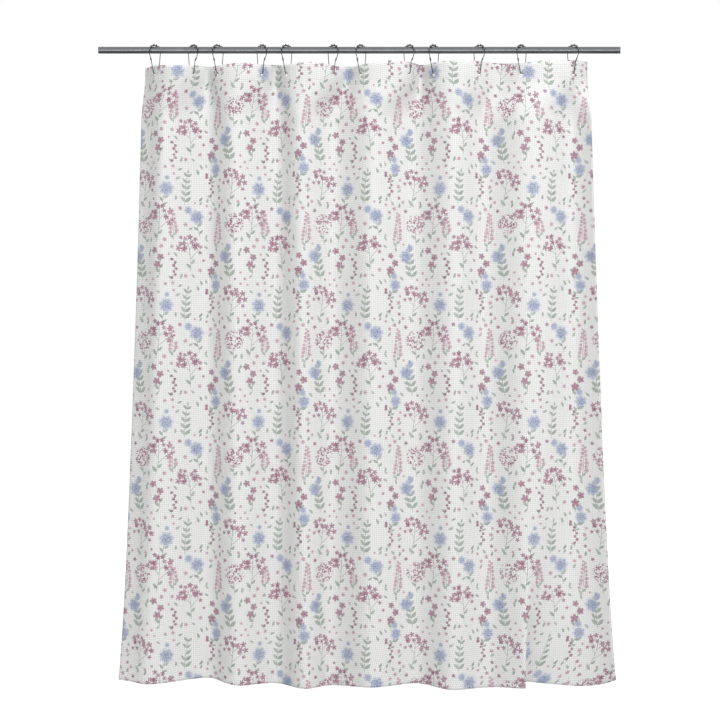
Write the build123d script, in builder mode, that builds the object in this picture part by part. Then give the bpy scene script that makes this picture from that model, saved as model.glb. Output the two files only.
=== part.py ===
"""Shower curtain on its rod: a tube, twelve roller hooks and a pleated cloth.

Millimetres. X runs along the rod, -Y is the room side that faces the viewer, +Z is up,
and the origin is the middle of the rod's axis.
"""

from build123d import *
import math
import os

# Rod: a plain round tube that spans a standard bath alcove.
ROD_LENGTH = 1524.0
ROD_RADIUS = 10.0
ROD_WALL = 1.0
ROD_EDGE_BREAK = 0.3

# Cloth: a square curtain with one eyelet for each hook, pleated between the hooks.
CLOTH_WIDTH = 1829.0
CLOTH_DROP = 1820.0
CLOTH_THICKNESS = 1.0
CLOTH_TOP_Z = -43.0
PANEL_GAP = 0.3  # left between neighbouring strips of cloth
ARCH_DEPTH_SHARE = 0.435  # height of an arch over sqrt(cloth^2 - span^2)
EDGE_SLOPE = 62.0  # degrees that each side edge curls back from the rod's line

# Where each hook stands along the rod.
HOOK_X = (-597, -486, -413, -285, -212, -77, 5, 145, 218, 350, 474, 624)
HOOK_COUNT = len(HOOK_X)
HOOK_PITCH_FLAT = CLOTH_WIDTH / HOOK_COUNT

# Fold crests from the left edge to the right edge: their place along the hem, and their
# depth behind the rod's line. Odd ones stand forward, even ones back.
HEM_CREST_X = (-708, -592, -452, -355, -250, -145, -68, 40, 165, 308, 455, 603, 748)
HEM_CREST_DEPTH = (40, -32, 36, -38, 40, -42, 36, -38, 36, -38, 34, -30, 32)
TOP_EDGE_LEFT = (-631, 58)
TOP_EDGE_RIGHT = (671, 48)

# Hook: one bent wire that runs over the rod on five roller balls.
HOOK_YAW = 45.0  # degrees that the hook's plane is turned from square to the rod
WIRE_RADIUS = 1.05
LATCH_OFFSET = 2.3  # the lower leg's tip lies beside the upper leg's tip
RING_HALF_WIDTH = 20.3
RING_SHOULDER_Z = 3.9
RING_PEAK_Z = 25.6  # where the two shoulders' tangents would meet
RING_TOP_RADIUS = 23.8
RING_SHOULDER_RADIUS = 10.0
WIRE_BOTTOM_Z = -68.1
ROLLER_RADIUS = 3.7
ROLLER_BORE = 1.7
ROLLER_PITCH = 9.6
ROLLER_STEPS = (-1.5, -0.5, 0.5, 1.5, 2.5)  # pitches from the top towards the front

# Eyelet: a stitched ring that hangs on the bottom of the hook.
EYELET_INNER = 4.0
EYELET_OUTER = 6.2
EYELET_THICKNESS = 2.0
EYELET_ROUNDING = 0.6
EYELET_PLAY = 0.5
EYELET_Z = WIRE_BOTTOM_Z + WIRE_RADIUS + EYELET_PLAY - EYELET_INNER

os.makedirs("parts", exist_ok=True)


def save(part, name):
    """Label a finished piece and write it as its own node."""
    part.label = name
    export_step(part, f"parts/{name}.step")


def hook_plane(index):
    """Upright plane of one hook: local X points at its front leg, local Y is up."""
    side = -1 if index % 2 == 0 else 1
    turn = math.radians(HOOK_YAW)
    front = Vector(side * math.sin(turn), -math.cos(turn), 0)
    return Plane(origin=(HOOK_X[index], 0, 0), x_dir=front, z_dir=front.cross(Vector(0, 0, 1)))


def wire_path(plane):
    """Centre line of the hook, from the upper leg's tip over the rod to the latch."""
    corners = (
        (12.2, -31.5, 0),
        (RING_HALF_WIDTH, -13.5, 0),
        (RING_HALF_WIDTH, RING_SHOULDER_Z, 0),
        (0, RING_PEAK_Z, 0),
        (-RING_HALF_WIDTH, RING_SHOULDER_Z, 0),
        (-RING_HALF_WIDTH, -9, 0),
        (-16.6, -44, 0),
        (-10.5, WIRE_BOTTOM_Z, 0),
        (4.6, WIRE_BOTTOM_Z, 0),
        (11.8, -33, LATCH_OFFSET),
        (15.8, -24, LATCH_OFFSET),
    )
    radii = (8, RING_SHOULDER_RADIUS, RING_TOP_RADIUS, RING_SHOULDER_RADIUS, 40, 30, 6.5, 5, 9)
    with BuildLine(plane) as path:
        FilletPolyline(*corners, radius=radii)
    return path.wire()


def ring_top_z():
    """Height of the wire's centre line where it passes over the rod."""
    shoulder = math.atan2(RING_PEAK_Z - RING_SHOULDER_Z, RING_HALF_WIDTH)
    return RING_PEAK_Z - RING_TOP_RADIUS / math.cos(shoulder) + RING_TOP_RADIUS


def roller_planes(plane):
    """One plane for each roller, square to the wire at the roller's centre."""
    path = wire_path(plane)
    top = path.param_at_point(plane.from_local_coords((0, ring_top_z()))) * path.length
    planes = []
    for step in ROLLER_STEPS:
        along = top - step * ROLLER_PITCH
        centre = path.position_at(along, position_mode=PositionMode.LENGTH)
        axis = path.tangent_at(along, position_mode=PositionMode.LENGTH)
        planes.append(Plane(origin=centre, z_dir=axis))
    return planes


def eyelet_plane(index):
    """Plane of one eyelet, facing along the wire that passes through it."""
    return Plane(origin=(HOOK_X[index], 0, EYELET_Z), z_dir=hook_plane(index).x_dir)


def arch_depth(span, cloth):
    """How far a length of cloth bows out when its ends are pulled to a shorter span."""
    return ARCH_DEPTH_SHARE * math.sqrt(cloth**2 - span**2)


def top_crests():
    """Fold crests along the top edge: one between each two hooks, and the two edges."""
    crests = [TOP_EDGE_LEFT]
    for index in range(HOOK_COUNT - 1):
        left, right = HOOK_X[index], HOOK_X[index + 1]
        side = -1 if index % 2 == 0 else 1
        crests.append(((left + right) / 2, side * arch_depth(right - left, HOOK_PITCH_FLAT)))
    crests.append(TOP_EDGE_RIGHT)
    return crests


def fold_tangent(crest):
    """Direction of the cloth at a crest: along the rod, but curled back at the edges."""
    if crest == 0:
        return Vector(1, 0).rotate(Axis.Z, -EDGE_SLOPE)
    if crest == HOOK_COUNT:
        return Vector(1, 0).rotate(Axis.Z, EDGE_SLOPE)
    return Vector(1, 0)


def panel_side(start, middle, end, index, offset):
    """Points of one face line of a strip, at a distance from the cloth's middle line."""
    first, last = fold_tangent(index), fold_tangent(index + 1)
    across = (Vector(*end) - Vector(*start)).normalized()
    return (
        Vector(*start) + first.rotate(Axis.Z, 90) * offset,
        Vector(*middle) + across.rotate(Axis.Z, 90) * offset,
        Vector(*end) + last.rotate(Axis.Z, 90) * offset,
    )


def panel_profile(height, start, middle, end, index):
    """Section of one strip of cloth at a height, as a thin S between two crests."""
    half = CLOTH_THICKNESS / 2
    ends = (fold_tangent(index), fold_tangent(index + 1))
    start = (start[0] + PANEL_GAP / 2, start[1])
    end = (end[0] - PANEL_GAP / 2, end[1])
    with BuildSketch(Plane.XY.offset(height)) as profile:
        with BuildLine():
            front = Spline(*panel_side(start, middle, end, index, -half), tangents=ends)
            back = Spline(*panel_side(start, middle, end, index, half), tangents=ends)
            Line(front @ 0, back @ 0)
            Line(front @ 1, back @ 1)
        make_face()
    return profile.sketch


def midpoint(first, second):
    return ((first[0] + second[0]) / 2, (first[1] + second[1]) / 2)


def rod_tube():
    with BuildPart() as tube:
        with BuildSketch(Plane.YZ):
            Circle(ROD_RADIUS)
            Circle(ROD_RADIUS - ROD_WALL, mode=Mode.SUBTRACT)
        extrude(amount=ROD_LENGTH / 2, both=True)
        rims = tube.edges().filter_by(GeomType.CIRCLE).group_by(SortBy.RADIUS)[-1]
        chamfer(rims, ROD_EDGE_BREAK)
    save(tube.part, "rod_tube")


def hook_wire(index):
    path = wire_path(hook_plane(index))
    with BuildPart() as wire:
        with BuildSketch(Plane(origin=path @ 0, z_dir=path % 0)):
            Circle(WIRE_RADIUS)
        sweep(path=path)
    save(wire.part, f"hook_wire_{index + 1:02d}")


def hook_rollers(index):
    planes = roller_planes(hook_plane(index))
    with BuildPart() as rollers:
        with Locations(*planes):
            Sphere(ROLLER_RADIUS)
            Cylinder(ROLLER_BORE, 3 * ROLLER_RADIUS, mode=Mode.SUBTRACT)
    save(rollers.part, f"hook_rollers_{index + 1:02d}")


def eyelet(index):
    with BuildPart() as ring:
        with BuildSketch(eyelet_plane(index)):
            Circle(EYELET_OUTER)
            Circle(EYELET_INNER, mode=Mode.SUBTRACT)
        extrude(amount=EYELET_THICKNESS / 2, both=True)
        fillet(ring.edges().filter_by(GeomType.CIRCLE), EYELET_ROUNDING)
    save(ring.part, f"eyelet_{index + 1:02d}")


def curtain_panel(index):
    top = top_crests()[index : index + 2]
    hem = list(zip(HEM_CREST_X, HEM_CREST_DEPTH))[index : index + 2]
    hook = (HOOK_X[index], 0)
    upper = panel_profile(CLOTH_TOP_Z, top[0], hook, top[1], index)
    lower = panel_profile(CLOTH_TOP_Z - CLOTH_DROP, hem[0], midpoint(*hem), hem[1], index)
    with BuildPart() as panel:
        loft(sections=(upper, lower), ruled=True)
        with Locations(eyelet_plane(index)):
            Cylinder(EYELET_OUTER, 4 * EYELET_OUTER, mode=Mode.SUBTRACT)
    save(panel.part, f"curtain_panel_{index + 1:02d}")


rod_tube()
for hook in range(HOOK_COUNT):
    hook_wire(hook)
    hook_rollers(hook)
    eyelet(hook)
    curtain_panel(hook)
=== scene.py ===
"""Looks of the shower curtain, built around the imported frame.

Metres, in the frame of the CAD model: X along the rod, -Y towards the viewer, +Z up, with the
origin at the middle of the rod's axis. The printed pattern is laid out in millimetres.
"""
import math

import bpy
import numpy as np
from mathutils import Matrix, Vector


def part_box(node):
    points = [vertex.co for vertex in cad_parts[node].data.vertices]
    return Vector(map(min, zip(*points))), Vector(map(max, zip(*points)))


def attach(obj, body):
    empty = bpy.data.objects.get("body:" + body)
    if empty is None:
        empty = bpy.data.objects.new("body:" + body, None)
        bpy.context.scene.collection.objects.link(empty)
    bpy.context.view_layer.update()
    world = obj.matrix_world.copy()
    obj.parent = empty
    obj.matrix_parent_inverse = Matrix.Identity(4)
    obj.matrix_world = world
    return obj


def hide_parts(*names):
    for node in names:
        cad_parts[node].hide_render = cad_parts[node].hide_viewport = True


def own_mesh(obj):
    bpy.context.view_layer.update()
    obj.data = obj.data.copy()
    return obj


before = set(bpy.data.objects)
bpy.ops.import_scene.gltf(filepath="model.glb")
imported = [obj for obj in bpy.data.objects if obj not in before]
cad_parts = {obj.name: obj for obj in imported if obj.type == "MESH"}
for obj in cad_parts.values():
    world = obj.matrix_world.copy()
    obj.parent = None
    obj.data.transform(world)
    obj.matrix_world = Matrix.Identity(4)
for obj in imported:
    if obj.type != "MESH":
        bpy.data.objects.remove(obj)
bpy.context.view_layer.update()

MM = 0.001
HOOK_COUNT = 12

# Cloth: cut size, thickness and the lines of its mesh.
FLAT_SIZE = (1.829, 1.829)
FLAT_PITCH = FLAT_SIZE[0] / HOOK_COUNT
CLOTH_HALF_THICKNESS = 0.00042
HEM_EXTRA = 0.00042
SIDE_HEM = 0.012
BOTTOM_HEM = 0.030
HEM_STEEPNESS = 6
EDGE_PINCH = 0.3
HEADER = 0.052
HEADER_LINES = 4
DROP_LINES = 215
COLUMNS_PER_HALF_BAY = 9
# Share of the drop by which the body's folds are reached, and the share between the last two
# lines, which keeps the rounding of the hem's edge narrow.
SETTLE_DROP = 0.075
HEM_ROLL = 0.0004
# How the folds go over from the body to the hem: share, power, and power of the rest.
HEM_FLARE = (0.85, 1.2, 8.0)
# Small uneven waves: how many, their height, and the ranges of waves across and down.
CREASE_COUNT = 14
CREASE_HEIGHT = 0.00013
CREASES_ACROSS = (18, 70)
CREASES_DOWN = (1.2, 5)
CREASE_SEED = 11

# Plan of the folds. Along the top the crests stand midway between hooks, and their depth
# follows from how far the hooks have pulled each bay of cloth together.
ARCH_DEPTH_SHARE = 0.435
TOP_LEFT_EDGE = (-0.631, 0.058)
TOP_RIGHT_EDGE = (0.671, 0.048)
# Crests from the left edge to the right edge, (x, depth) in mm, a little way down ...
BODY_CRESTS = (
    (-640, 56), (-568, -34), (-448, 40), (-363, -36), (-244, 40), (-171, -36), (-72, 40),
    (37, -36), (162, 40), (271, -36), (370, 38), (487, -34), (674, -16),
)
# ... and at the hem, (x, depth, height above the lowest line of the hem).
HEM_CRESTS = (
    (-708, 40, 22), (-612, -36, 20), (-446, 36, 28), (-355, -38, 17), (-247, 38, 12),
    (-158, -42, 8), (-80, 36, 6), (37, -38, 11), (168, 36, 12), (271, -40, 4), (380, 22, 2),
    (482, -44, 11), (748, -18, 30),
)
HEM_LOWEST = -1.867
# The last front crest doubles back behind itself near the hem.
FOLD_BACK_BODY = (560, -10)
FOLD_BACK_HEM = (468, 22, 20)
FOLD_BACK_START = 7.0
LAST_BAY_BODY = (622, 36)
LAST_BAY_HEM = (642, 36, 4)
# Height of the top edge in mm: edge, hook, crest, hook and so on to the right edge.
TOP_EDGE_Z = (
    -46, -45, -50, -44, -40, -45, -42, -41, -35, -42, -38, -44, -40, -43, -34, -34, -35,
    -36, -33, -32, -33, -37, -30, -29, -27,
)


# ---------------------------------------------------------------- the cloth's surface
def hook_points():
    """Middle of each eyelet."""
    return [sum(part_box(f"eyelet_{n:02d}"), Vector()) / 2 for n in range(1, HOOK_COUNT + 1)]


HOOKS = hook_points()
EYELET_Z = HOOKS[0].z


def spline_matrix(count):
    """Second derivatives of a natural cubic spline through count points, as a matrix."""
    system = np.eye(count)
    right = np.zeros((count, count))
    for k in range(1, count - 1):
        system[k, k - 1 : k + 2] = 1, 4, 1
        right[k, k - 1 : k + 2] = 6, -12, 6
    return np.linalg.solve(system, right)


def between(first, second):
    """The place halfway between two places."""
    return tuple((a + b) / 2 for a, b in zip(first, second))


def header_plan():
    """Plan points along the top: edge, hook, crest, hook, ... edge."""
    points = [TOP_LEFT_EDGE]
    for k, hook in enumerate(HOOKS):
        points.append((hook.x, 0.0))
        if k < HOOK_COUNT - 1:
            span = HOOKS[k + 1].x - hook.x
            depth = ARCH_DEPTH_SHARE * math.sqrt(FLAT_PITCH**2 - span**2)
            side = -1 if k % 2 == 0 else 1
            points.append((hook.x + span / 2, side * depth))
    points.append(TOP_RIGHT_EDGE)
    return points


def lower_plan(crests, last_bay):
    """Plan points lower down, with a point halfway along each flank."""
    points = [crests[0]]
    for first, second in zip(crests, crests[1:]):
        points.append(between(first, second))
        points.append(second)
    points[-2] = last_bay
    return points


def with_fold_back(points, extra):
    """The same points with the doubled-back fold's own point after the last front crest."""
    return np.array([*points[:-2], extra, *points[-2:]], float)


HEADER_PLAN = header_plan()
HEADER_XY = with_fold_back(HEADER_PLAN, between(HEADER_PLAN[-3], HEADER_PLAN[-2]))
BODY_XY = with_fold_back(lower_plan(BODY_CRESTS, LAST_BAY_BODY), FOLD_BACK_BODY) * MM
HEM_XYZ = with_fold_back(lower_plan(HEM_CRESTS, LAST_BAY_HEM), FOLD_BACK_HEM) * MM
TOP_Z = np.array([*TOP_EDGE_Z[:-2], (TOP_EDGE_Z[-3] + TOP_EDGE_Z[-2]) / 2, *TOP_EDGE_Z[-2:]]) * MM
NODE_COUNT = len(HEADER_XY)
FOLD_BACK_NODE = NODE_COUNT - 3
HOOK_NODES = [1 + 2 * k for k in range(HOOK_COUNT - 1)] + [NODE_COUNT - 2]
CURVATURES = spline_matrix(NODE_COUNT)


def smoothstep(value):
    """Smooth rise from 0 to 1, level outside that range."""
    value = np.clip(value, 0.0, 1.0)
    return value * value * (3 - 2 * value)


def line_drop(line):
    """Share of the way from the eyelets to the hem. The last two lines lie close together."""
    step = line - HEADER_LINES
    if step == DROP_LINES:
        return 1.0
    if step == DROP_LINES - 1:
        return 1 - HEM_ROLL
    return step / (DROP_LINES - 1)


def node_points(line):
    """Where the surface's 26 guide points stand on one line of the mesh, counted from the top."""
    if line <= HEADER_LINES:
        share = line / HEADER_LINES
        return np.column_stack([HEADER_XY, TOP_Z + (EYELET_Z - TOP_Z) * share])
    drop = line_drop(line)
    settle = smoothstep(drop / SETTLE_DROP)
    share, power, late = HEM_FLARE
    flare = np.full(NODE_COUNT, share * drop**power + (1 - share) * drop**late)
    flare[FOLD_BACK_NODE] = drop**FOLD_BACK_START
    plan = HEADER_XY + (BODY_XY - HEADER_XY) * settle + (HEM_XYZ[:, :2] - BODY_XY) * flare[:, None]
    height = EYELET_Z + (HEM_LOWEST + HEM_XYZ[:, 2] - EYELET_Z) * drop
    return np.column_stack([plan, height])


def spline_weights(places):
    """For each place along the cloth, counted in guide points, its weight on every point."""
    places = np.asarray(places, float)
    left = np.clip(np.floor(places).astype(int), 0, NODE_COUNT - 2)
    b = places - left
    a = 1 - b
    rows = np.arange(len(places))
    weights = np.zeros((len(places), NODE_COUNT))
    weights[rows, left] += a
    weights[rows, left + 1] += b
    bend_left = (a**3 - a)[:, None] * CURVATURES[left]
    bend_right = (b**3 - b)[:, None] * CURVATURES[left + 1]
    return weights + (bend_left + bend_right) / 6


def column_places():
    """Places of the mesh's columns, closer together on the doubled-back fold."""
    places = [0.0]
    for node in range(NODE_COUNT - 1):
        count = COLUMNS_PER_HALF_BAY
        if node in (FOLD_BACK_NODE - 1, FOLD_BACK_NODE):
            count = COLUMNS_PER_HALF_BAY - 2
        places += [node + (k + 1) / count for k in range(count)]
    return np.array(places)


def creases(across, down):
    """Small uneven waves that run mostly down the cloth, in metres."""
    random = np.random.default_rng(CREASE_SEED)
    waves = np.zeros(np.broadcast(across, down).shape)
    for _ in range(CREASE_COUNT):
        wide, tall = random.uniform(*CREASES_ACROSS), random.uniform(*CREASES_DOWN)
        phase, lean = random.uniform(0, 6.28), random.uniform(-1, 1)
        waves += np.sin(wide * across + tall * down + phase + lean * np.sin(3 * down))
    return waves * CREASE_HEIGHT


COLUMN_PLACES = column_places()
COLUMN_WEIGHTS = spline_weights(COLUMN_PLACES)
HOOK_COLUMNS = [int(np.argmin(abs(COLUMN_PLACES - node))) for node in HOOK_NODES]
LINE_COUNT = HEADER_LINES + DROP_LINES + 1


def grid_points():
    """Middle surface of the cloth as a grid of points, line by line."""
    return np.array([COLUMN_WEIGHTS @ node_points(line) for line in range(LINE_COUNT)])


def grid_normals(points):
    """Unit normals of the grid that point to the front."""
    down = np.gradient(points, axis=0)
    across = np.gradient(points, axis=1)
    normals = np.cross(down, across)
    return normals / np.linalg.norm(normals, axis=2, keepdims=True)


def flat_places(points):
    """Each grid point's place on the uncut cloth: across from the left edge, down from the top."""
    steps_across = np.linalg.norm(np.diff(points, axis=1), axis=2)
    steps_down = np.linalg.norm(np.diff(points, axis=0), axis=2)
    across = np.zeros(points.shape[:2])
    down = np.zeros(points.shape[:2])
    across[:, 1:] = np.cumsum(steps_across, axis=1)
    down[1:] = np.cumsum(steps_down, axis=0)
    across *= FLAT_SIZE[0] / across[:, -1:]
    down *= FLAT_SIZE[1] / down[-1:]
    return np.dstack([across, down])


def half_thickness(flat):
    """Half the cloth's thickness: doubled at the hems and header, thin at the very edge."""
    across, down = flat[..., 0], flat[..., 1]
    depth = np.maximum.reduce([
        (SIDE_HEM - across) / SIDE_HEM,
        (across - FLAT_SIZE[0] + SIDE_HEM) / SIDE_HEM,
        (down - FLAT_SIZE[1] + BOTTOM_HEM) / BOTTOM_HEM,
        (HEADER - down) / HEADER,
    ])
    half = CLOTH_HALF_THICKNESS + HEM_EXTRA * smoothstep(depth * HEM_STEEPNESS)
    half[[0, -1]] *= EDGE_PINCH
    half[:, [0, -1]] *= EDGE_PINCH
    return half


def eyelet_axes(points, column):
    """Directions along the cloth at an eyelet: to the right, and down."""
    across = points[HEADER_LINES, column + 1] - points[HEADER_LINES, column - 1]
    down = points[HEADER_LINES + 1, column] - points[HEADER_LINES - 1, column]
    return across / np.linalg.norm(across), down / np.linalg.norm(down)


class ClothGrid:
    """The cloth's mesh: two grids of quads, joined round the edges and round each eyelet."""

    HOLE_RADIUS = 0.0050
    HOLE_SIDES = 8

    def __init__(self, surface):
        flat = flat_places(surface)
        normals = grid_normals(surface)
        middle = surface + normals * creases(flat[..., 0], flat[..., 1])[..., None]
        pattern = print_places(middle)
        rim = self.hole_rims(middle, flat, pattern)
        thick = half_thickness(flat)[..., None] * normals
        self.index = np.arange(middle.shape[0] * middle.shape[1]).reshape(middle.shape[:2])
        points = np.concatenate([middle.reshape(-1, 3), rim["points"]])
        offsets = np.concatenate([thick.reshape(-1, 3), rim["offsets"]])
        flats = np.concatenate([flat.reshape(-1, 2), rim["flats"]])
        patterns = np.concatenate([pattern.reshape(-1, 2), rim["patterns"]])
        sheet = self.sheet_faces(len(middle.reshape(-1, 3)))
        used = np.unique(sheet)
        renumber = np.full(len(points), -1)
        renumber[used] = np.arange(len(used))
        self.sheet = renumber[sheet]
        self.count = len(used)
        self.middle = points[used]
        self.offset = offsets[used]
        self.flat = flats[used]
        self.pattern = patterns[used]

    def hole_rims(self, middle, flat, pattern):
        """Points round each hook, on the surface, where the eyelet is cut."""
        line = HEADER_LINES
        points, offsets, flats, patterns = [], [], [], []
        for column in HOOK_COLUMNS:
            centre = middle[line, column]
            across, down = eyelet_axes(middle, column)
            normal = np.cross(down, across)
            for k in range(self.HOLE_SIDES):
                turn = math.radians(225 + 45 * k)
                step = self.HOLE_RADIUS * np.array([math.cos(turn), math.sin(turn)])
                points.append(centre + step[0] * across + step[1] * down)
                offsets.append(normal * (CLOTH_HALF_THICKNESS + HEM_EXTRA))
                flats.append(flat[line, column] + step)
                patterns.append(pattern[line, column] + step / MM)
        return {"points": np.array(points), "offsets": np.array(offsets),
                "flats": np.array(flats), "patterns": np.array(patterns)}

    def sheet_faces(self, first_rim):
        """Quads of the front, without the four round each hook but with a ring in their place."""
        grid = self.index
        quads = np.stack([grid[:-1, :-1], grid[1:, :-1], grid[1:, 1:], grid[:-1, 1:]], axis=-1)
        keep = np.ones(quads.shape[:2], bool)
        rings = []
        line = HEADER_LINES
        for k, column in enumerate(HOOK_COLUMNS):
            keep[line - 1 : line + 1, column - 1 : column + 1] = False
            around = [(-1, -1), (-1, 0), (-1, 1), (0, 1), (1, 1), (1, 0), (1, -1), (0, -1)]
            outer = [grid[line + i, column + j] for i, j in around]
            inner = [first_rim + self.HOLE_SIDES * k + m for m in range(self.HOLE_SIDES)]
            for m in range(self.HOLE_SIDES):
                after = (m + 1) % self.HOLE_SIDES
                rings.append([outer[m], inner[m], inner[after], outer[after]])
        return np.concatenate([quads[keep], np.array(rings)])

    def edge_faces(self):
        """Quads that close the sheet round its edges and holes."""
        starts = self.sheet.reshape(-1)
        ends = np.roll(self.sheet, -1, axis=1).reshape(-1)
        forward = starts * self.count + ends
        backward = ends * self.count + starts
        alone = ~np.isin(forward, backward)
        a, b = starts[alone], ends[alone]
        return np.stack([b, a, a + self.count, b + self.count], axis=-1)

    def build(self, name):
        """The closed mesh, with the places that its material reads."""
        points = np.concatenate([self.middle + self.offset, self.middle - self.offset])
        back = self.sheet[:, ::-1] + self.count
        walls = self.edge_faces()
        faces = np.concatenate([self.sheet, back, walls])
        mesh = bpy.data.meshes.new(name)
        mesh.from_pydata(points.tolist(), [], faces.tolist())
        smooth = np.ones(len(faces), bool)
        smooth[-len(walls) :] = False
        mesh.polygons.foreach_set("use_smooth", smooth)
        corners = faces.reshape(-1)
        flat = np.concatenate([self.flat, self.flat])[corners]
        weave = mesh.uv_layers.new(name="weave")
        weave.data.foreach_set("uv", flat.astype(np.float32).ravel())
        front = np.zeros(len(faces), np.float32)
        front[: len(self.sheet)] = 1.0
        side = mesh.attributes.new("front_side", "FLOAT", "FACE")
        side.data.foreach_set("value", front)
        place = np.concatenate([self.pattern, self.pattern])
        self.print_corners = place[faces]
        self.printed = 2 * len(self.sheet)
        seen = np.column_stack([place, np.zeros(len(place))])
        printed = mesh.attributes.new("print_place", "FLOAT_VECTOR", "POINT")
        printed.data.foreach_set("vector", seen.astype(np.float32).ravel())
        return mesh


# ---------------------------------------------------------------- the printed pattern
# A made-up pattern of wild flowers. One repeat, in mm, x to the right and y down.
REPEAT = (290.0, 340.0)
PATTERN_SEED = 23
STEM_WIDTH = 0.62  # half the width of a stem, mm
LEAF_WIDTH = 0.42  # a leaf's half width over its half length
OUTSIDE = 9.0  # a place in a mark's own coordinates that no mark reaches
UNROLLED_DEPTH = 0.55  # share of the folds' depth that the print follows
# How many marks of each kind may overlap. Later kinds are painted over earlier ones.
LAYER_COUNTS = {"stem": 3, "leaf": 4, "blue": 2, "umbel": 1, "flower": 6}


def print_places(points):
    """Place in the pattern, in mm, of each grid point. Part of the folds' depth is unrolled."""
    steps = np.linalg.norm(np.diff(points, axis=1) * (1.0, UNROLLED_DEPTH, 0.0), axis=2)
    across = np.zeros(points.shape[:2])
    across[:, 1:] = np.cumsum(steps, axis=1)
    middle = points.shape[1] // 2
    across += (points[:, middle, 0] - across[:, middle])[:, None]
    return np.dstack([across, -points[..., 2]]) / MM


def on_stem(base, tip, bow, share):
    """A point of a bowed stem, at a share of its length."""
    run = tip[0] - base[0], tip[1] - base[1]
    rise = 2 * bow * share * (1 - share)
    return base[0] + run[0] * share - run[1] * rise, base[1] + run[1] * share + run[0] * rise


class Pattern:
    """The marks of one repeat, grown sprig by sprig. Angles are in degrees above the x axis.

    A mark is (x, y, half length, half width, angle, code), and the code says how it is painted.
    """

    def __init__(self):
        self.random = np.random.default_rng(PATTERN_SEED)
        self.flowers = []
        self.umbels = []
        self.blues = []
        self.leaves = []
        self.stems = []

    def vary(self, value, share=0.15):
        """A value changed at random by up to a share of itself."""
        return value * self.random.uniform(1 - share, 1 + share)

    def flower(self, x, y, radius, notch, tone):
        """A small flower; notch is the cut between its petals in tenths, tone pale to deep."""
        code = notch + min(max(self.vary(tone), 0.02), 0.97)
        self.flowers.append((x, y, radius, radius, self.random.uniform(0, 360), code))

    def leaf(self, x, y, length, angle):
        """A leaf that grows from a place."""
        turn = math.radians(angle)
        x += math.cos(turn) * length / 2
        y -= math.sin(turn) * length / 2
        code = self.random.uniform(0, 0.98)
        self.leaves.append((x, y, length / 2, LEAF_WIDTH * length / 2 + 1, angle, code))

    def grow(self, base, angle, length, bow=0.0):
        """A stem. Returns the function that gives a point on it."""
        turn = math.radians(angle)
        tip = base[0] + length * math.cos(turn), base[1] - length * math.sin(turn)
        half = length / 2
        middle = (base[0] + tip[0]) / 2, (base[1] + tip[1]) / 2
        self.stems.append((*middle, half, abs(bow) * half + 1.5, angle, round(half) + 0.5 + bow))
        return lambda share: on_stem(base, tip, bow, share)

    def cluster(self, x, y, count, radius, tone):
        """Flowers in a loose ring."""
        start = self.random.uniform(0, math.tau)
        for k in range(count):
            turn = start + math.tau * k / count * self.vary(1.0, 0.12)
            away = self.vary(1.25 * radius, 0.25)
            self.flower(x + away * math.cos(turn), y + away * math.sin(turn),
                        self.vary(radius, 0.25), 6, tone)

    def star_spray(self, x, y, angle, height):
        """A branching stem that carries loose clusters of star flowers."""
        point = self.grow((x, y), angle, height, 0.08)
        for k in range(4):
            side = 1 if k % 2 else -1
            twig = self.grow(point(0.4 + 0.16 * k), angle + 44 * side, height * (0.44 - 0.07 * k))
            self.cluster(*twig(1.0), self.random.integers(3, 6), 8.0, 0.62)
        self.cluster(*point(1.04), 5, 8.0, 0.7)
        self.leaf(*point(0.1), self.vary(20), angle + 40)
        self.leaf(*point(0.24), self.vary(18), angle - 42)

    def leafy_stem(self, x, y, angle, height, pairs):
        """An upright stem with leaves in pairs."""
        point = self.grow((x, y), angle, height, -0.06)
        for k in range(pairs):
            share = (k + 0.5) / pairs
            for side in (-1, 1):
                self.leaf(*point(share), self.vary(25 - 8 * share), angle + 46 * side)
        self.leaf(*point(1.0), 15, angle)

    def pale_spire(self, x, y, angle, height, count):
        """A tall narrow head of pale florets."""
        point = self.grow((x, y), angle, height, 0.05)
        for k in range(count):
            share = 0.25 + 0.75 * k / (count - 1)
            side = (1 if k % 2 else -1) * (12 - 9 * share)
            place = point(share)
            x = place[0] + self.vary(side)
            self.flower(x, place[1], self.vary(7.2 - 2.6 * share, 0.2), 5, 0.22)
        self.leaf(*point(0.05), 19, angle + 38)
        self.leaf(*point(0.14), 17, angle - 40)

    def berry_branch(self, x, y, angle, length, count):
        """A bowed twig hung with berries."""
        point = self.grow((x, y), angle, length, 0.3)
        for k in range(count):
            place = point(0.2 + 0.8 * k / (count - 1))
            side = 3.5 if k % 2 else -3.5
            self.flower(place[0] + side, place[1] + 3, self.vary(4.6, 0.2), 1, 0.75)
        self.leaf(*point(0.08), 14, angle + 50)

    def open_flowers(self, x, y, angle, height):
        """A stem with three large open flowers, one above another."""
        point = self.grow((x, y), angle, height, 0.12)
        for k in range(3):
            side = 7 if k % 2 else -7
            place = point(0.42 + 0.29 * k)
            self.flower(place[0] + side, place[1], self.vary(11.5 - k), 4, 0.66)
        self.leaf(*point(0.1), 21, angle + 40)
        self.leaf(*point(0.26), 17, angle - 40)

    def blue_posy(self, x, y, radius, angle):
        """A full blue flower with a bud beside it, on a leafy stalk."""
        point = self.grow((x, y), angle + 180, 3.2 * radius, 0.1)
        reach = 1.3 * radius
        self.blues.append((x, y, reach, reach, self.random.uniform(0, 360), self.vary(0.66, 0.3)))
        turn = math.radians(self.random.uniform(15, 165))
        bud = x + 1.75 * radius * math.cos(turn), y - 1.75 * radius * math.sin(turn)
        reach = self.vary(0.6, 0.3) * radius
        self.blues.append((*bud, reach, reach, self.random.uniform(0, 360), 0.5))
        for k, share in enumerate((0.5, 0.68, 0.86)):
            self.leaf(*point(share), self.vary(21 - 3 * k), angle + (48 if k % 2 else -48))

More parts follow.
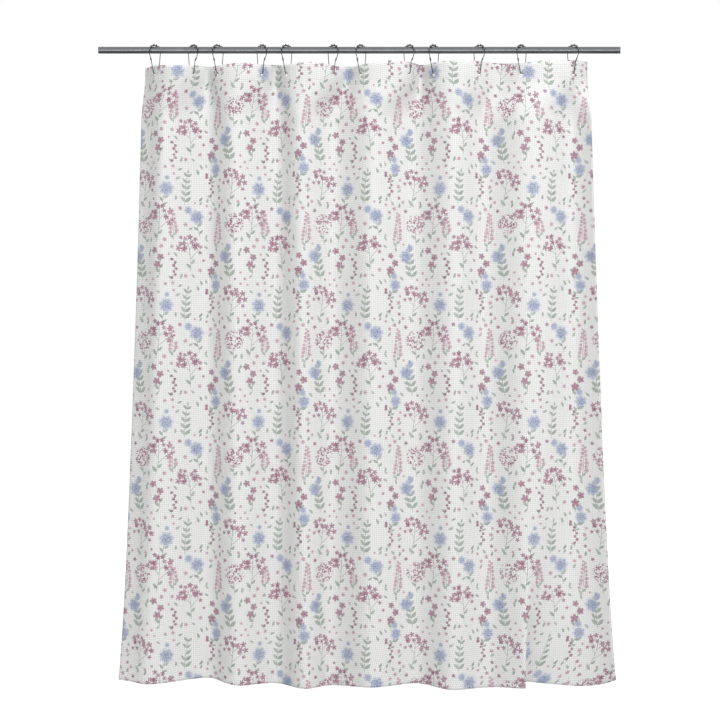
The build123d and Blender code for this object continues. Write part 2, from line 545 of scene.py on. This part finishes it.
    def seed_head(self, x, y, radius, angle):
        """A round head of many tiny florets."""
        self.umbels.append((x, y, radius, radius, 0, 0.5))
        point = self.grow((x, y + 0.7 * radius), angle + 180, 1.3 * radius, 0.06)
        self.leaf(*point(0.55), 19, angle + 46)
        self.leaf(*point(0.8), 17, angle - 44)

    def gap(self, x, y):
        """Distance from a place to the nearest mark, over the seams of the repeat too."""
        marks = np.array([mark[:4] for kind in self.kinds().values() for mark in kind])
        apart = abs(marks[:, :2] - (x, y)) % REPEAT
        apart = np.minimum(apart, np.array(REPEAT) - apart)
        return (np.hypot(*apart.T) - (marks[:, 2] + marks[:, 3]) / 2).min()

    def fill(self, tries, room):
        """Small flowers and twigs where the ground is still bare."""
        for k in range(tries):
            x, y = self.random.uniform((0, 0), REPEAT)
            if self.gap(x, y) < room:
                continue
            if k % 2 == 0:
                self.leaf(x, y, self.vary(17), self.random.uniform(20, 160))
            else:
                self.flower(x, y, self.vary(5.5, 0.3), 5, 0.25 if k % 3 else 0.7)

    def kinds(self):
        """The marks by kind, in the order in which they are painted."""
        return {"stem": self.stems, "leaf": self.leaves, "blue": self.blues,
                "umbel": self.umbels, "flower": self.flowers}


def wild_flowers():
    """The composition: sprigs in staggered columns, then small marks between them."""
    pattern = Pattern()
    pattern.leafy_stem(22, 112, 84, 92, 5)
    pattern.blue_posy(58, 146, 18, 100)
    pattern.star_spray(40, 306, 96, 88)
    pattern.berry_branch(98, 96, 100, 80, 8)
    pattern.blue_posy(118, 6, 15, 70)
    pattern.pale_spire(120, 240, 86, 104, 15)
    pattern.open_flowers(100, 334, 82, 74)
    pattern.star_spray(166, 118, 82, 92)
    pattern.seed_head(182, 168, 30, 94)
    pattern.leafy_stem(172, 330, 96, 92, 5)
    pattern.blue_posy(258, 66, 18, 78)
    pattern.star_spray(228, 220, 84, 92)
    pattern.open_flowers(238, 318, 98, 74)
    pattern.pale_spire(278, 216, 94, 92, 13)
    pattern.blue_posy(152, 262, 17, 104)
    pattern.berry_branch(270, 334, 84, 66, 7)
    pattern.fill(tries=1400, room=10.5)
    return pattern.kinds()


class PrintLayers:
    """Spreads the marks of the repeating pattern over the faces of the cloth.

    Each face of a layer carries one mark at most, as the place of its corners in the mark's own
    coordinates and the mark's code, so that a material can draw the mark's shape on it.
    """

    CELL = 24.0
    MARGIN = 60.0
    SPARE = 1.12

    def __init__(self, mesh, corners, printed):
        self.mesh = mesh
        self.corners = corners
        self.printed = printed
        own = corners[:printed]
        self.middle = own.mean(axis=1)
        self.reach = np.linalg.norm(own - self.middle[:, None], axis=2).max(axis=1)
        self.low, self.high = self.middle.min(axis=0), self.middle.max(axis=0)
        cells = np.floor(self.middle / self.CELL).astype(int)
        self.cells = {}
        for face, cell in enumerate(map(tuple, cells)):
            self.cells.setdefault(cell, []).append(face)
        self.cells = {cell: np.array(faces) for cell, faces in self.cells.items()}

    def near(self, x, y, size):
        """Faces in the cells round a place."""
        margin = size + self.CELL / 2
        first = math.floor((x - margin) / self.CELL), math.floor((y - margin) / self.CELL)
        last = math.floor((x + margin) / self.CELL), math.floor((y + margin) / self.CELL)
        found = [self.cells[i, j] for i in range(first[0], last[0] + 1)
                 for j in range(first[1], last[1] + 1) if (i, j) in self.cells]
        return np.concatenate(found) if found else np.zeros(0, int)

    def repeats(self, marks):
        """Every copy of the marks that can reach the cloth."""
        first = np.floor((self.low - self.MARGIN) / REPEAT).astype(int)
        last = np.ceil((self.high + self.MARGIN) / REPEAT).astype(int)
        for j in range(first[1], last[1]):
            for i in range(first[0], last[0]):
                for x, y, *rest in marks:
                    yield (x + i * REPEAT[0], y + j * REPEAT[1], *rest)

    def add(self, name, marks, layers):
        """Writes attributes name_0, name_1 and so on, and returns their names."""
        values = np.zeros((layers, len(self.corners), 4, 3), np.float32)
        values[..., :2] = OUTSIDE
        taken = np.zeros((layers, self.printed), bool)
        dropped = 0
        for x, y, half_length, half_width, angle, code in self.repeats(marks):
            faces = self.near(x, y, half_length)
            if not len(faces):
                continue
            turn = math.radians(angle)
            cos, sin = math.cos(turn), math.sin(turn)
            frame_axes = np.array([[cos, sin], [-sin, cos]])
            local = (self.middle[faces] - (x, y)) @ frame_axes
            reach = self.reach[faces]
            inside = (abs(local[:, 0]) < half_length * self.SPARE + reach) & (
                abs(local[:, 1]) < half_width * self.SPARE + reach)
            faces = faces[inside]
            free = [k for k in range(layers) if not taken[k, faces].any()]
            if not free or not len(faces):
                dropped += bool(len(faces))
                continue
            taken[free[0], faces] = True
            places = (self.corners[faces] - (x, y)) @ frame_axes / half_length
            values[free[0], faces, :, :2] = places
            values[free[0], faces, :, 2] = code
        names = [f"{name}_{k}" for k in range(layers)]
        for attribute_name, data in zip(names, values):
            attribute = self.mesh.attributes.new(attribute_name, "FLOAT_VECTOR", "CORNER")
            attribute.data.foreach_set("vector", data.ravel())
        print(name, "marks that found no layer:", dropped)
        return names


# ---------------------------------------------------------------- materials
def shade(code):
    """Linear colour of a hex triplet."""
    parts = [((code >> shift) & 255) / 255 for shift in (16, 8, 0)]
    return tuple(c / 12.92 if c < 0.04045 else ((c + 0.055) / 1.055) ** 2.4 for c in parts) + (1.0,)


COTTON = shade(0xF0F0EF)
# Colour of the waffle weave's pits: painted shade that stands for the shadow in its hollows.
COTTON_PIT_SHADE = shade(0xDADADA)
THREAD = shade(0xE4E3E2)
PALE_PINK = shade(0xD8AEBE)
DEEP_MAUVE = shade(0x8C4F6E)
PALE_BLUE = shade(0xB9C2D6)
DEEP_BLUE = shade(0x6C77A2)
PALE_SAGE = shade(0xC8CFC8)
DEEP_SAGE = shade(0x879588)
STEM_SAGE = shade(0x8E9B8F)
WAFFLE_CELL = 0.0059
STITCH_PITCH = 0.0032
STITCH_INSET = 0.0018


class Paint:
    """Short names for making and wiring the nodes of one material."""

    def __init__(self, name):
        self.material = bpy.data.materials.new(name)
        self.material.use_nodes = True
        self.tree = self.material.node_tree
        self.tree.nodes.clear()

    def node(self, kind, values=(), **settings):
        made = self.tree.nodes.new(kind)
        for key, value in settings.items():
            setattr(made, key, value)
        for socket, value in dict(values).items():
            self.give(made.inputs[socket], value)
        return made

    def give(self, socket, value):
        if isinstance(value, bpy.types.NodeSocket):
            self.tree.links.new(value, socket)
        elif value is not None:
            socket.default_value = value

    def math(self, operation, *values):
        return self.node("ShaderNodeMath", enumerate(values), operation=operation).outputs[0]

    def vector(self, operation, *values):
        made = self.node("ShaderNodeVectorMath", enumerate(values), operation=operation)
        return made.outputs["Value" if operation == "LENGTH" else "Vector"]

    def ramp(self, value, low, high):
        """Smooth step from 0 at low to 1 at high."""
        values = {"Value": value, "From Min": low, "From Max": high}
        made = self.node("ShaderNodeMapRange", values, interpolation_type="SMOOTHSTEP")
        return made.outputs["Result"]

    def mix(self, factor, first, second):
        made = self.node("ShaderNodeMix", {0: factor, 6: first, 7: second}, data_type="RGBA")
        return made.outputs[2]

    def attribute(self, name, output="Vector"):
        return self.node("ShaderNodeAttribute", attribute_name=name).outputs[output]

    def parts(self, vector):
        return self.node("ShaderNodeSeparateXYZ", {0: vector}).outputs[:3]

    def noise(self, place, scale, detail=2.0, roughness=0.5):
        values = {"Vector": place, "Scale": scale, "Detail": detail, "Roughness": roughness}
        return self.node("ShaderNodeTexNoise", values).outputs[0]

    def place_of_object(self):
        return self.node("ShaderNodeTexCoord").outputs["Object"]

    def bump(self, height, distance, strength=1.0):
        values = {"Height": height, "Distance": distance, "Strength": strength}
        return self.node("ShaderNodeBump", values).outputs[0]

    @staticmethod
    def socket_name(key):
        """The shader's own name for a value, such as Specular IOR Level."""
        return key.replace("_", " ").title().replace("Ior", "IOR")

    def finish(self, **values):
        """The surface shader and the output. Returns the material."""
        named = {self.socket_name(key): value for key, value in values.items()}
        surface = self.node("ShaderNodeBsdfPrincipled", named)
        self.node("ShaderNodeOutputMaterial", {"Surface": surface.outputs[0]})
        return self.material


def centred(paint, value, size):
    """A 0 to 1 noise value as a swing either side of zero."""
    return paint.math("MULTIPLY_ADD", value, 2 * size, -size)


def draw_flowers(paint, colour, layer, wobble, mottle, strength):
    """Small flowers and berries: lobed edge, darker rim of dried paint and a deep heart."""
    place = paint.attribute(layer)
    x, y, code = paint.parts(place)
    notch = paint.math("MULTIPLY", paint.math("FLOOR", code), 0.1)
    tone = paint.math("FRACT", code)
    radius = paint.vector("LENGTH", paint.vector("MULTIPLY", place, (1.0, 1.0, 0.0)))
    turn = paint.math("MULTIPLY", paint.math("ARCTAN2", y, x), 2.5)
    lobe = paint.math("SUBTRACT", paint.math("ABSOLUTE", paint.math("COSINE", turn)), 1.0)
    edge = paint.math("ADD", paint.math("MULTIPLY_ADD", notch, lobe, 1.0), wobble)
    depth = paint.math("SUBTRACT", edge, radius)
    cover = paint.math("MULTIPLY", paint.ramp(depth, -0.08, 0.16), strength)
    cover = paint.math("MULTIPLY", cover, paint.math("MULTIPLY_ADD", mottle, 0.6, 0.9))
    rim = paint.ramp(depth, 0.4, 0.0)
    heart = paint.ramp(radius, 0.34, 0.12)
    dark = paint.math("MULTIPLY_ADD", paint.math("MAXIMUM", rim, heart), 0.3, tone)
    dark = paint.math("ADD", dark, mottle)
    paint_colour = paint.mix(dark, PALE_PINK, DEEP_MAUVE)
    return paint.mix(cover, colour, paint_colour)


def draw_umbel(paint, colour, layer, place, wobble, strength):
    """A head of many tiny flowers, open in places."""
    local = paint.attribute(layer)
    radius = paint.vector("LENGTH", paint.vector("MULTIPLY", local, (1.0, 1.0, 0.0)))
    head = paint.ramp(paint.math("ADD", radius, wobble), 1.02, 0.9)
    gaps = paint.ramp(paint.noise(place, 0.085, 0.0), 0.30, 0.42)
    values = {"Vector": place, "Scale": 0.185, "Randomness": 0.85}
    cells = paint.node("ShaderNodeTexVoronoi", values)
    petal = paint.ramp(cells.outputs["Distance"], 0.62, 0.42)
    cover = paint.math("MULTIPLY", paint.math("MULTIPLY", head, gaps), petal)
    tone = paint.parts(cells.outputs["Color"])[0]
    petal_colour = paint.mix(paint.math("MULTIPLY_ADD", tone, 0.6, 0.45), PALE_PINK, DEEP_MAUVE)
    return paint.mix(paint.math("MULTIPLY", cover, strength), colour, petal_colour)


def draw_blue_flowers(paint, colour, layer, wobble, mottle, strength):
    """Full round flowers: a pale wash, and over it curled petals in deeper paint."""
    local = paint.attribute(layer)
    x, y, tone = paint.parts(local)
    radius = paint.vector("LENGTH", paint.vector("MULTIPLY", local, (1.0, 1.0, 0.0)))
    angle = paint.math("ARCTAN2", y, x)
    shift = paint.math("MULTIPLY", mottle, 9.0)
    lobes = paint.math("COSINE", paint.math("MULTIPLY_ADD", angle, 7.0, shift))
    ragged = paint.math("MULTIPLY_ADD", lobes, 0.1, paint.math("ADD", radius, wobble))
    wash = paint.math("MULTIPLY", paint.ramp(ragged, 1.02, 0.75), 0.55)
    body = paint.ramp(ragged, 0.9, 0.5)
    curl = paint.math("MULTIPLY_ADD", radius, 17.0, paint.math("MULTIPLY", mottle, 16.0))
    petals = paint.math("SINE", paint.math("ADD", curl, paint.math("MULTIPLY", angle, 3.0)))
    deep = paint.math("MULTIPLY_ADD", petals, 0.34, paint.math("MULTIPLY_ADD", radius, -0.35, tone))
    flower = paint.mix(deep, PALE_BLUE, DEEP_BLUE)
    cover = paint.math("MULTIPLY", body, paint.math("MULTIPLY_ADD", petals, 0.17, 0.78))
    colour = paint.mix(paint.math("MULTIPLY", wash, strength), colour, PALE_BLUE)
    return paint.mix(paint.math("MULTIPLY", cover, strength), colour, flower)


def draw_leaves(paint, colour, layer, mottle, strength):
    """Pointed leaves with a pale midrib."""
    x, y, code = paint.parts(paint.attribute(layer))
    taper = paint.math("MAXIMUM", paint.math("SUBTRACT", 1.0, paint.math("MULTIPLY", x, x)), 0.0)
    arch = paint.math("MULTIPLY_ADD", taper, -0.1, y)
    lean = paint.math("MULTIPLY_ADD", x, -0.3, 1.0)
    half = paint.math("MULTIPLY", paint.math("MULTIPLY", taper, lean), LEAF_WIDTH)
    aside = paint.math("ABSOLUTE", arch)
    depth = paint.math("MULTIPLY_ADD", mottle, 0.2, paint.math("SUBTRACT", half, aside))
    cover = paint.math("MULTIPLY", paint.ramp(depth, 0.0, 0.07), paint.ramp(taper, 0.0, 0.05))
    rib = paint.math("MULTIPLY", paint.ramp(aside, 0.07, 0.02), 0.45)
    tone = paint.math("ADD", paint.math("MULTIPLY_ADD", code, 0.45, 0.45), mottle)
    tone = paint.math("SUBTRACT", tone, rib)
    return paint.mix(paint.math("MULTIPLY", cover, strength), colour,
                     paint.mix(tone, PALE_SAGE, DEEP_SAGE))


def draw_stems(paint, colour, layer, mottle, strength):
    """Thin bowed stems."""
    x, y, code = paint.parts(paint.attribute(layer))
    half = paint.math("FLOOR", code)
    bow = paint.math("SUBTRACT", paint.math("FRACT", code), 0.5)
    taper = paint.math("SUBTRACT", 1.0, paint.math("MULTIPLY", x, x))
    aside = paint.math("ABSOLUTE", paint.math("SUBTRACT", y, paint.math("MULTIPLY", bow, taper)))
    width = paint.math("MULTIPLY_ADD", mottle, 0.8, paint.math("MULTIPLY", aside, half))
    line = paint.ramp(width, STEM_WIDTH + 0.3, STEM_WIDTH - 0.3)
    cover = paint.math("MULTIPLY", line, paint.ramp(taper, -0.02, 0.04))
    return paint.mix(paint.math("MULTIPLY", cover, strength), colour, STEM_SAGE)


def waffle_height(paint, across, down):
    """1 on the raised ribs of the waffle weave and 0 in its pits."""
    turns = [paint.math("MULTIPLY", way, math.tau / WAFFLE_CELL) for way in (across, down)]
    ribs = [paint.math("COSINE", turn) for turn in turns]
    return paint.ramp(paint.math("MAXIMUM", *ribs), -0.25, 0.75)


def stitch_lines(paint, across, down):
    """Rows of lockstitch along the hems and the header."""
    rows = []
    ways = (
        (across, down, SIDE_HEM, SIDE_HEM),
        (down, across, HEADER, BOTTOM_HEM),
    )
    for way, along, first, last in ways:
        near = paint.math("ABSOLUTE", paint.math("SUBTRACT", way, first - STITCH_INSET))
        far = paint.math("ABSOLUTE", paint.math("SUBTRACT", way, FLAT_SIZE[0] - last + STITCH_INSET))
        row = paint.ramp(paint.math("MINIMUM", near, far), 0.0008, 0.0003)
        wave = paint.math("SINE", paint.math("MULTIPLY", along, math.tau / STITCH_PITCH))
        dash = paint.ramp(wave, -0.7, -0.3)
        rows.append(paint.math("MULTIPLY", row, dash))
    return paint.math("MAXIMUM", *rows)


def printed_cotton(layers):
    """White waffle cotton with painted shade in the weave's pits, and the print, strong on its front
    and faint on its back.
    """
    paint = Paint("printed_waffle_cotton")
    weave = paint.node("ShaderNodeUVMap", uv_map="weave").outputs[0]
    across, down, _ = paint.parts(weave)
    place = paint.attribute("print_place")
    front = paint.attribute("front_side", "Fac")
    strength = paint.math("MULTIPLY_ADD", front, 0.62, 0.3)
    wobble = centred(paint, paint.noise(place, 0.42, 1.0), 0.3)
    mottle = centred(paint, paint.noise(place, 0.21, 2.0), 0.45)
    height = waffle_height(paint, across, down)
    # The pits are painted darker as shade in the weave's hollows; the same height also drives the
    # bump.
    colour = paint.mix(height, COTTON_PIT_SHADE, COTTON)
    for layer in layers["stem"]:
        colour = draw_stems(paint, colour, layer, mottle, strength)
    for layer in layers["leaf"]:
        colour = draw_leaves(paint, colour, layer, mottle, strength)
    for layer in layers["blue"]:
        colour = draw_blue_flowers(paint, colour, layer, wobble, mottle, strength)
    for layer in layers["umbel"]:
        colour = draw_umbel(paint, colour, layer, place, wobble, strength)
    for layer in layers["flower"]:
        colour = draw_flowers(paint, colour, layer, wobble, mottle, strength)
    stitches = stitch_lines(paint, across, down)
    colour = paint.mix(stitches, colour, THREAD)
    fuzz = paint.noise(weave, 1400.0, 1.0)
    relief = paint.math("MULTIPLY_ADD", stitches, -0.7, height)
    relief = paint.math("MULTIPLY_ADD", fuzz, 0.35, relief)
    return paint.finish(
        base_color=colour,
        roughness=paint.math("MULTIPLY_ADD", fuzz, 0.15, 0.78),
        normal=paint.bump(relief, 0.0008, 0.8),
        specular_ior_level=0.2,
        sheen_weight=0.12,
        sheen_roughness=0.5,
    )


def eyelet_thread():
    """White buttonhole thread, with a little lint."""
    paint = Paint("buttonhole_thread")
    place = paint.place_of_object()
    lint = paint.noise(place, 3000.0, 2.0)
    colour = paint.mix(lint, shade(0xBDBCBA), shade(0xD6D5D3))
    return paint.finish(
        base_color=colour,
        roughness=paint.math("MULTIPLY_ADD", lint, 0.2, 0.6),
        normal=paint.bump(lint, 0.0002, 0.5),
        specular_ior_level=0.3,
        sheen_weight=0.2,
    )


def metal(name, colour, worn, grain, rough, lift):
    """Metal with a drawn grain: grain is the noise's scale along X, Y and Z."""
    paint = Paint(name)
    place = paint.place_of_object()
    drawn = paint.noise(paint.vector("MULTIPLY", place, grain), 1.0, 3.0, 0.6)
    patches = paint.noise(place, 9.0, 3.0)
    wear = paint.ramp(patches, 0.5, 0.75)
    tone = paint.mix(paint.math("MULTIPLY", wear, 0.6), colour, worn)
    tone = paint.mix(paint.math("MULTIPLY", drawn, 0.3), tone, worn)
    return paint.finish(
        base_color=tone,
        metallic=1.0,
        roughness=paint.math("MULTIPLY_ADD", drawn, 0.22, rough),
        normal=paint.bump(drawn, lift, 0.4),
    )


def pale_floor():
    """White to the camera, but dim in the light that it throws back, so that metal keeps its depth."""
    paint = Paint("studio_floor")
    speckle = paint.noise(paint.place_of_object(), 3.0, 2.0)
    colour = paint.mix(speckle, shade(0x808080), shade(0x868686))
    seen = paint.node("ShaderNodeLightPath").outputs["Is Camera Ray"]
    return paint.finish(
        base_color=colour,
        roughness=0.9,
        specular_ior_level=0.1,
        emission_color=(1, 1, 1, 1),
        emission_strength=paint.math("MULTIPLY", seen, FLOOR_GLOW),
    )


# ---------------------------------------------------------------- pieces
def make_curtain(surface):
    """The whole curtain as one sheet, with its print."""
    grid = ClothGrid(surface)
    mesh = grid.build("curtain")
    prints = PrintLayers(mesh, grid.print_corners, grid.printed)
    marks = wild_flowers()
    layers = {kind: prints.add(kind, marks[kind], count) for kind, count in LAYER_COUNTS.items()}
    mesh.materials.append(printed_cotton(layers))
    curtain = bpy.data.objects.new("curtain", mesh)
    bpy.context.scene.collection.objects.link(curtain)
    return curtain


RIM_RADIUS = 0.0051
RIM_TUBE = (0.0009, 0.00105)
RIM_SEED = 5
RIM_WRAPS = 30
RIM_UNEVENNESS = 0.03
RIM_BULGE = (0.86, 0.2)
RIM_STEPS = 4 * RIM_WRAPS
RIM_SIDES = 10


def rim_points(centre, across, down, normal, random):
    """One eyelet's rim: a tube wound with thread, lying in the cloth."""
    points = []
    unevenness = random.uniform(-RIM_UNEVENNESS, RIM_UNEVENNESS, RIM_WRAPS)
    for k in range(RIM_STEPS):
        turn = math.tau * k / RIM_STEPS
        wrap = k * RIM_WRAPS // RIM_STEPS
        bulge = RIM_BULGE[0] + RIM_BULGE[1] * abs(math.sin(RIM_WRAPS * turn / 2)) + unevenness[wrap]
        outward = across * math.cos(turn) + down * math.sin(turn)
        for m in range(RIM_SIDES):
            side = math.tau * m / RIM_SIDES
            out = RIM_RADIUS + RIM_TUBE[0] * bulge * math.cos(side)
            points.append(centre + outward * out + normal * RIM_TUBE[1] * bulge * math.sin(side))
    return points


def make_eyelet_stitching(surface):
    """All twelve stitched rims, as one piece that draws together with the cloth."""
    random = np.random.default_rng(RIM_SEED)
    points, faces = [], []
    for column in HOOK_COLUMNS:
        across, down = eyelet_axes(surface, column)
        normal = np.cross(down, across)
        normal = normal / np.linalg.norm(normal)
        first = len(points)
        centre = surface[HEADER_LINES, column]
        points += rim_points(centre, across, np.cross(across, normal), normal, random)
        for k in range(RIM_STEPS):
            for m in range(RIM_SIDES):
                a, b = k * RIM_SIDES, (k + 1) % RIM_STEPS * RIM_SIDES
                n = (m + 1) % RIM_SIDES
                faces.append([first + a + m, first + b + m, first + b + n, first + a + n])
    mesh = bpy.data.meshes.new("eyelet_stitching")
    mesh.from_pydata([tuple(p) for p in points], [], faces)
    mesh.polygons.foreach_set("use_smooth", [True] * len(faces))
    mesh.materials.append(eyelet_thread())
    rims = bpy.data.objects.new("eyelet_stitching", mesh)
    bpy.context.scene.collection.objects.link(rims)
    return rims


def dress_metal():
    """Better materials for the rod, the hooks and their rollers."""
    rod = metal("satin_steel", colour=shade(0x77787A), worn=shade(0x8B8C8E),
                grain=(3.0, 900.0, 900.0), rough=0.26, lift=0.00003)
    wire = metal("drawn_wire", colour=shade(0x38393B), worn=shade(0x4C4D4F),
                 grain=(400.0, 400.0, 60.0), rough=0.5, lift=0.00002)
    ball = metal("bright_steel", colour=shade(0x737476), worn=shade(0x88898B),
                 grain=(250.0, 250.0, 250.0), rough=0.1, lift=0.00001)
    dressed = {"rod_tube": rod}
    for number in range(1, HOOK_COUNT + 1):
        dressed[f"hook_wire_{number:02d}"] = wire
        dressed[f"hook_rollers_{number:02d}"] = ball
    for name, material in dressed.items():
        for material_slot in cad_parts[name].material_slots:
            material_slot.material = material


def area_light(name, place, target, size, power):
    """A soft rectangular light that faces its target, with its power in watts."""
    data = bpy.data.lights.new(name, "AREA")
    data.shape = "RECTANGLE"
    data.size, data.size_y = size
    data.energy = power
    light = bpy.data.objects.new(name, data)
    bpy.context.scene.collection.objects.link(light)
    light.location = place
    light.rotation_euler = (Vector(target) - Vector(place)).to_track_quat("-Z", "Y").to_euler()
    return light


CAMERA_DISTANCE = 6.0
CAMERA_X = 0.002
CAMERA_Z = -0.905
LENS = 102.7
FLOOR_Z = -1.985
FLOOR_HALF = 30.0
FLOOR_GLOW = 0.82
MIDDLE = (0.0, 0.0, -0.9)
ROD = (0.0, 0.0, 0.0)


def make_camera():
    """Level camera square to the rod, as in the photo."""
    data = bpy.data.cameras.new("camera")
    data.lens = LENS
    data.sensor_width = 36.0
    camera = bpy.data.objects.new("camera", data)
    bpy.context.scene.collection.objects.link(camera)
    camera.location = (CAMERA_X, -CAMERA_DISTANCE, CAMERA_Z)
    camera.rotation_euler = (math.radians(90), 0, 0)
    bpy.context.scene.camera = camera


def make_studio():
    """White room and pale floor, a key light from the right of the camera and one from behind.

    The key makes no glints, and a low strip that makes only glints lights the rod evenly.
    """
    mesh = bpy.data.meshes.new("floor")
    h = FLOOR_HALF
    corners = [(-h, -h, FLOOR_Z), (h, -h, FLOOR_Z), (h, h, FLOOR_Z), (-h, h, FLOOR_Z)]
    mesh.from_pydata(corners, [], [(0, 1, 2, 3)])
    mesh.materials.append(pale_floor())
    floor = bpy.data.objects.new("floor", mesh)
    bpy.context.scene.collection.objects.link(floor)
    world = bpy.data.worlds.new("white_room")
    world.use_nodes = True
    background = world.node_tree.nodes["Background"]
    background.inputs["Color"].default_value = (1, 1, 1, 1)
    background.inputs["Strength"].default_value = 1.0
    bpy.context.scene.world = world
    key = area_light("key", place=(1.9, -6.0, 3.2), target=MIDDLE, size=(1.6, 1.6), power=275)
    key.visible_glossy = False
    strip = area_light("strip", place=(0.0, -6.5, -1.2), target=ROD, size=(6.0, 0.9), power=160)
    strip.visible_diffuse = False
    area_light("back", place=(-2.6, 6.0, 2.6), target=MIDDLE, size=(1.6, 1.6), power=150)
    bpy.context.scene.view_settings.view_transform = "Standard"


make_camera()
make_studio()
cloth_surface = grid_points()
curtain = make_curtain(cloth_surface)
rims = make_eyelet_stitching(cloth_surface)
dress_metal()

for piece, slot in ((curtain, "curtain_cloth"), (rims, "eyelet_thread")):
    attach(piece, "panel_01")
    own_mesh(piece)
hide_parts(*[f"curtain_panel_{number:02d}" for number in range(1, HOOK_COUNT + 1)])
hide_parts(*[f"eyelet_{number:02d}" for number in range(1, HOOK_COUNT + 1)])
